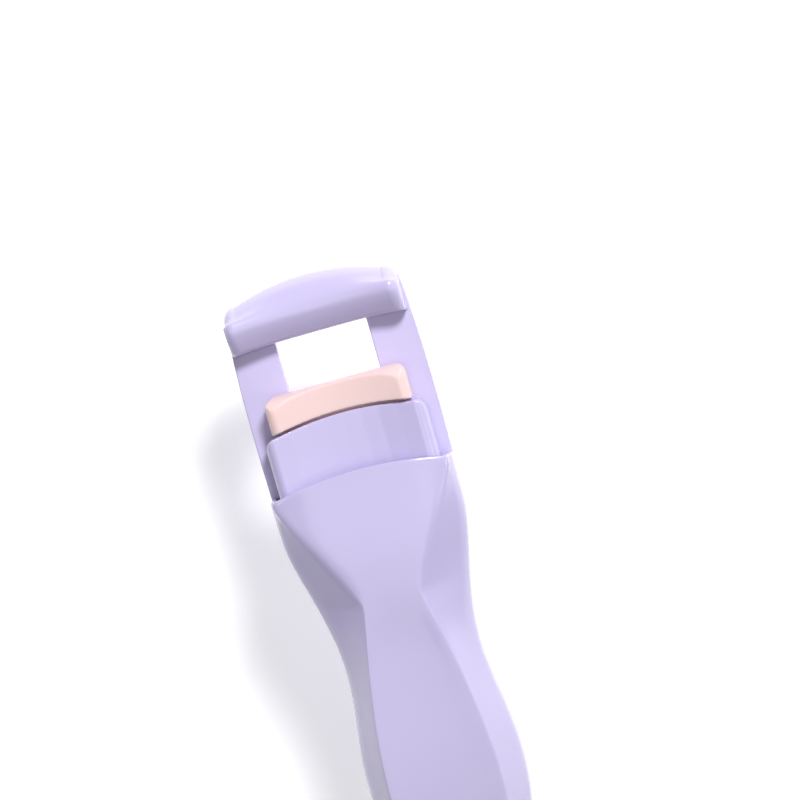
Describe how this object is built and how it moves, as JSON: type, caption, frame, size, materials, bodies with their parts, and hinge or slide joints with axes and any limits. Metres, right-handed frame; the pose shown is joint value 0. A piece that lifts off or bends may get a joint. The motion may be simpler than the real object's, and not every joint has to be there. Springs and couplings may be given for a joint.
{
  "type": "eyelash curler",
  "caption": "Hand-held eyelash curler with an arched crossbar jaw, a sliding padded lower jaw, a waisted faceted handle and a sprung press lever down the back.",
  "frame": {"origin": "bottom centre of the bounding box: the lowest point of the open lever, mid width and mid length", "axes": "+Y along the handle towards the jaws, +Z to the front, which faces the eye, +X across"},
  "size_m": [0.031, 0.1068, 0.04],
  "materials": {
    "lilac_shell": "glossy moulded lilac",
    "lilac_frame": "glossy moulded lilac, a little lighter",
    "pink_silicone": "soft satin silicone",
    "guide_plastic": "satin",
    "steel": "bright"
  },
  "bodies": {
    "handle": {"front_shell": "lilac_shell", "rear_shell": "lilac_shell", "head_frame": "lilac_frame", "frame_screws": "steel", "shell_screws": "steel", "stem_guide": "guide_plastic", "hinge_bracket": "steel", "lever_pin": "steel"},
    "press_lever": {"lever": "lilac_shell"},
    "lower_jaw": {"carriage": "lilac_frame", "slide_plate": "lilac_frame", "slide_screws": "steel", "silicone_pad": "pink_silicone", "drive_pin": "steel", "return_spring": "steel"}
  },
  "joints": [
    {"name": "lever_pivot", "type": "hinge", "parent": "handle", "child": "press_lever", "pos_m": [0, 0.01055, 0.02463], "axis": [-1, 0, 0], "range_deg": [0, 20], "stiffness_Nm_per_rad": 0.06, "springref_deg": -28.65},
    {"name": "carriage_slide", "type": "slide", "parent": "handle", "child": "lower_jaw", "axis": [0, 1, 0], "range_m": [0, 0.008], "deforming": ["return_spring"]}
  ],
  "couplings": [
    {"joint": "carriage_slide", "follows": "lever_pivot", "m_per_rad": 0.022918}
  ]
}
